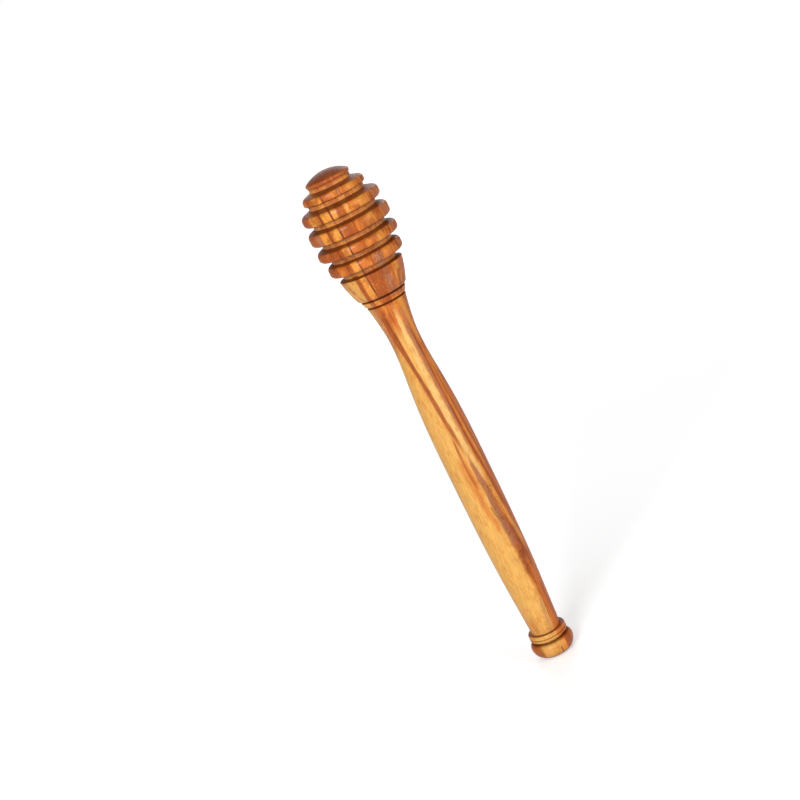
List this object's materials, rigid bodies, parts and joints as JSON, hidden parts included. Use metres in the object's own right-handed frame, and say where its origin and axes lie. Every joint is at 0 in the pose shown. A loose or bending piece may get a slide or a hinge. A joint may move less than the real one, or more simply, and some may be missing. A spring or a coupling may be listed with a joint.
{
  "type": "honey dipper",
  "caption": "Turned wooden honey dipper: a barrel-shaped head with deep grooves between rounded rings, glued on the tenon of a slim waisted handle that ends in a knob.",
  "frame": {"origin": "centre of the knob's flat end, on the lathe axis", "axes": "+Z along the lathe axis from the knob to the tip of the head; X and Y are equal, as the part is round"},
  "size_m": [0.0242, 0.0242, 0.1596],
  "materials": {
    "olive_wood": "olive wood under a semi-gloss clear varnish, pale tan with brown streaks along the grain"
  },
  "bodies": {
    "root": {"dipper_head": "olive_wood", "handle": "olive_wood"}
  },
  "joints": []
}
